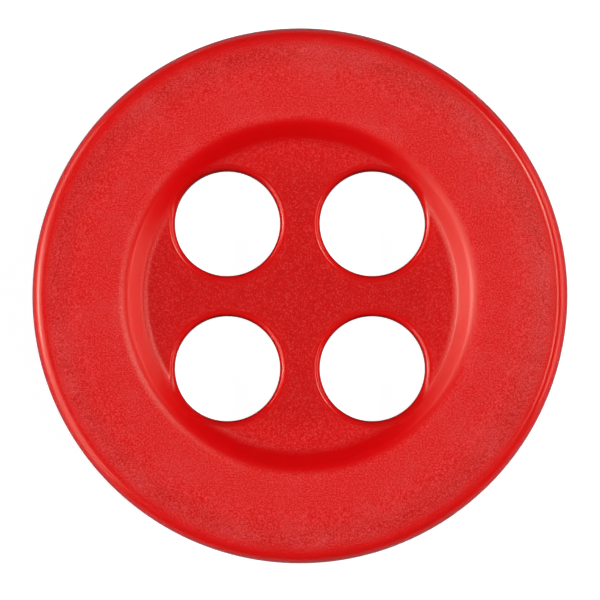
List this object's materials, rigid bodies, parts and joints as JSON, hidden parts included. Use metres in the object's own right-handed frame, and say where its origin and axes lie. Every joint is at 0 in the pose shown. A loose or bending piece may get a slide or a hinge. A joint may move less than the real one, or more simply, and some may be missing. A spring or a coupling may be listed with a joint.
{
  "type": "sew-through button",
  "caption": "Round sew-through button with a broad crowned ring, a sunken well and thread holes in a square pattern.",
  "frame": {"origin": "centre of the flat back, where the button lies on the cloth", "axes": "+Z along the button's axis, from the back to the face; +X and +Y along the rows of thread holes"},
  "size_m": [0.0114, 0.0114, 0.0022],
  "materials": {
    "button": "red cast plastic, satin face with a fine frosted grain, smoother on the slope, the hole edges and the rim"
  },
  "bodies": {
    "root": {"button": "button"}
  },
  "joints": []
}
